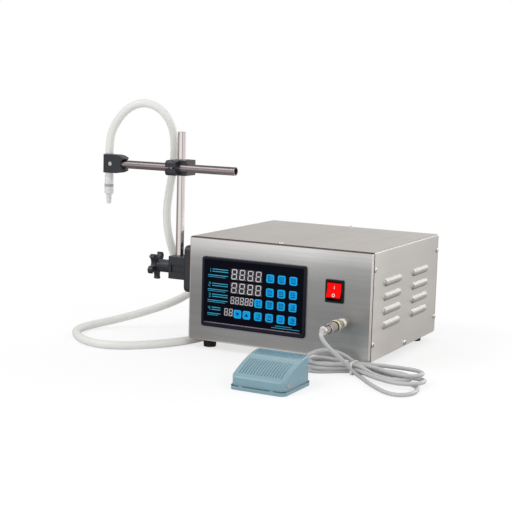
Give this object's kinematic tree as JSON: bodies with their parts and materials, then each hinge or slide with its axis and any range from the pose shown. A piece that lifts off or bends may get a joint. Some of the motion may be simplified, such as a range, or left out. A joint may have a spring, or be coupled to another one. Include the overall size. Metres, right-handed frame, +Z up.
{
  "type": "digital liquid filler",
  "caption": "Bench liquid filler: sheet-metal case with a gear pump, keypad and digit windows, a mast with a sliding arm and filling nozzle, hoses, and a foot pedal on a cord.",
  "frame": {"origin": "on the floor that the feet stand on, under the middle of the sheet-metal case", "axes": "+Z up, +X to the right seen from the front with the control panel, +Y to the back; the mast stands on the -X side and the foot pedal lies in front, at -Y"},
  "size_m": [0.5762, 0.4525, 0.3561],
  "materials": {
    "cover_steel": "satin stainless",
    "brushed_panel": "brushed along X",
    "rubber_black": "matte",
    "screw_steel": "bright zinc",
    "panel_frame": "gloss near-black",
    "panel_gloss": "gloss navy black",
    "circuit_board": "matte",
    "switch_black": "satin moulded",
    "switch_red": "gloss",
    "nickel": "nickel plated",
    "black_plastic": "satin moulded",
    "tube_steel": "polished stainless",
    "hose_silicone": "translucent white",
    "clear_plastic": "clear",
    "ring_grey": "matte",
    "port_brass": "turned",
    "pump_metal": "machined",
    "gear_steel": "ground",
    "motor_paint": "satin",
    "pedal_blue": "gloss blue-grey",
    "cord_grey": "satin",
    "tie_white": "satin",
    "key_blue": "satin"
  },
  "bodies": {
    "case": {"chassis_tray": "brushed_panel", "top_cover": "cover_steel", "case_feet": "rubber_black", "case_fasteners": "screw_steel", "panel_bezel": "panel_frame", "panel_overlay": "panel_gloss", "display_board": "circuit_board", "rocker_housing": "switch_black", "cable_socket": "nickel", "cable_plug": "nickel", "mast_bracket": "black_plastic", "hose_ports": "port_brass", "pump_body": "pump_metal", "pump_cover": "pump_metal", "pump_mount": "brushed_panel", "pump_motor": "motor_paint", "pump_tubes": "hose_silicone", "power_supply": "pump_metal", "power_inlet": "switch_black", "pedal_base": "pedal_blue", "pedal_pin": "screw_steel", "pedal_spring": "screw_steel", "pedal_switch": "switch_black", "cord_hank": "cord_grey", "cable_tie": "tie_white", "outlet_hose": "hose_silicone", "inlet_hose": "hose_silicone", "cord_lead": "cord_grey", "cord_tail": "cord_grey"},
    "knob": {"star_knob": "black_plastic"},
    "mast": {"mast_tube": "tube_steel"},
    "swivel": {"cross_clamp": "black_plastic", "clamp_screws": "screw_steel"},
    "arm": {"arm_tube": "tube_steel"},
    "head": {"nozzle_head": "black_plastic", "head_screw": "screw_steel", "outlet_hose_end": "hose_silicone", "hose_connector": "clear_plastic", "seal_ring": "ring_grey", "nozzle_tip": "clear_plastic"},
    "rocker": {"rocker_button": "switch_red"},
    "treadle": {"pedal_treadle": "pedal_blue"},
    "drive_gear_body": {"drive_gear": "gear_steel"},
    "driven_gear_body": {"driven_gear": "gear_steel"},
    "key_01_cap": {"key_01": "key_blue"},
    "key_02_cap": {"key_02": "key_blue"},
    "key_03_cap": {"key_03": "key_blue"},
    "key_04_cap": {"key_04": "key_blue"},
    "key_05_cap": {"key_05": "key_blue"},
    "key_06_cap": {"key_06": "key_blue"},
    "key_07_cap": {"key_07": "key_blue"},
    "key_08_cap": {"key_08": "key_blue"},
    "key_09_cap": {"key_09": "key_blue"},
    "key_10_cap": {"key_10": "key_blue"},
    "key_11_cap": {"key_11": "key_blue"},
    "key_12_cap": {"key_12": "key_blue"},
    "key_13_cap": {"key_13": "key_blue"},
    "key_14_cap": {"key_14": "key_blue"},
    "key_15_cap": {"key_15": "key_blue"},
    "key_16_cap": {"key_16": "key_blue"}
  },
  "joints": [
    {"name": "mast_lift", "type": "slide", "parent": "case", "child": "mast", "axis": [0, 0, 1], "range_m": [-0.085, 0.008], "deforming": ["outlet_hose"]},
    {"name": "arm_swing", "type": "hinge", "parent": "mast", "child": "swivel", "pos_m": [-0.171, -0.112, 0.259], "axis": [0, 0, 1], "range_deg": [-60, 60]},
    {"name": "arm_reach", "type": "slide", "parent": "swivel", "child": "arm", "axis": [1, 0, 0], "range_m": [-0.045, 0.045]},
    {"name": "nozzle_tilt", "type": "hinge", "parent": "arm", "child": "head", "pos_m": [-0.273, -0.126, 0.259], "axis": [1, 0, 0], "range_deg": [-40, 40]},
    {"name": "knob_turn", "type": "hinge", "parent": "case", "child": "knob", "pos_m": [-0.19, -0.112, 0.112], "axis": [1, 0, 0], "range_deg": [0, 540]},
    {"name": "rocker_press", "type": "hinge", "parent": "case", "child": "rocker", "pos_m": [0.0874, -0.1285, 0.1059], "axis": [1, 0, 0], "range_deg": [0, 22]},
    {"name": "pedal_press", "type": "hinge", "parent": "case", "child": "treadle", "pos_m": [0.065, -0.3035, 0.0121], "axis": [-1, 0, 0], "range_deg": [0, 2.6], "stiffness_Nm_per_rad": 4.6, "springref_deg": -2.86, "deforming": ["pedal_spring"]},
    {"name": "drive_spin", "type": "hinge", "parent": "case", "child": "drive_gear_body", "pos_m": [-0.077, -0.0225, 0.076], "axis": [1, 0, 0], "continuous": true},
    {"name": "driven_spin", "type": "hinge", "parent": "case", "child": "driven_gear_body", "pos_m": [-0.077, -0.0225, 0.1], "axis": [1, 0, 0], "continuous": true},
    {"name": "key_01_press", "type": "slide", "parent": "case", "child": "key_01_cap", "axis": [0, 1, 0], "range_m": [0, 0.0004], "stiffness_N_per_m": 400, "springref_m": -0.002},
    {"name": "key_02_press", "type": "slide", "parent": "case", "child": "key_02_cap", "axis": [0, 1, 0], "range_m": [0, 0.0004], "stiffness_N_per_m": 400, "springref_m": -0.002},
    {"name": "key_03_press", "type": "slide", "parent": "case", "child": "key_03_cap", "axis": [0, 1, 0], "range_m": [0, 0.0004], "stiffness_N_per_m": 400, "springref_m": -0.002},
    {"name": "key_04_press", "type": "slide", "parent": "case", "child": "key_04_cap", "axis": [0, 1, 0], "range_m": [0, 0.0004], "stiffness_N_per_m": 400, "springref_m": -0.002},
    {"name": "key_05_press", "type": "slide", "parent": "case", "child": "key_05_cap", "axis": [0, 1, 0], "range_m": [0, 0.0004], "stiffness_N_per_m": 400, "springref_m": -0.002},
    {"name": "key_06_press", "type": "slide", "parent": "case", "child": "key_06_cap", "axis": [0, 1, 0], "range_m": [0, 0.0004], "stiffness_N_per_m": 400, "springref_m": -0.002},
    {"name": "key_07_press", "type": "slide", "parent": "case", "child": "key_07_cap", "axis": [0, 1, 0], "range_m": [0, 0.0004], "stiffness_N_per_m": 400, "springref_m": -0.002},
    {"name": "key_08_press", "type": "slide", "parent": "case", "child": "key_08_cap", "axis": [0, 1, 0], "range_m": [0, 0.0004], "stiffness_N_per_m": 400, "springref_m": -0.002},
    {"name": "key_09_press", "type": "slide", "parent": "case", "child": "key_09_cap", "axis": [0, 1, 0], "range_m": [0, 0.0004], "stiffness_N_per_m": 400, "springref_m": -0.002},
    {"name": "key_10_press", "type": "slide", "parent": "case", "child": "key_10_cap", "axis": [0, 1, 0], "range_m": [0, 0.0004], "stiffness_N_per_m": 400, "springref_m": -0.002},
    {"name": "key_11_press", "type": "slide", "parent": "case", "child": "key_11_cap", "axis": [0, 1, 0], "range_m": [0, 0.0004], "stiffness_N_per_m": 400, "springref_m": -0.002},
    {"name": "key_12_press", "type": "slide", "parent": "case", "child": "key_12_cap", "axis": [0, 1, 0], "range_m": [0, 0.0004], "stiffness_N_per_m": 400, "springref_m": -0.002},
    {"name": "key_13_press", "type": "slide", "parent": "case", "child": "key_13_cap", "axis": [0, 1, 0], "range_m": [0, 0.0004], "stiffness_N_per_m": 400, "springref_m": -0.002},
    {"name": "key_14_press", "type": "slide", "parent": "case", "child": "key_14_cap", "axis": [0, 1, 0], "range_m": [0, 0.0004], "stiffness_N_per_m": 400, "springref_m": -0.002},
    {"name": "key_15_press", "type": "slide", "parent": "case", "child": "key_15_cap", "axis": [0, 1, 0], "range_m": [0, 0.0004], "stiffness_N_per_m": 400, "springref_m": -0.002},
    {"name": "key_16_press", "type": "slide", "parent": "case", "child": "key_16_cap", "axis": [0, 1, 0], "range_m": [0, 0.0004], "stiffness_N_per_m": 400, "springref_m": -0.002}
  ],
  "couplings": [
    {"joint": "driven_spin", "follows": "drive_spin", "ratio": -1}
  ]
}
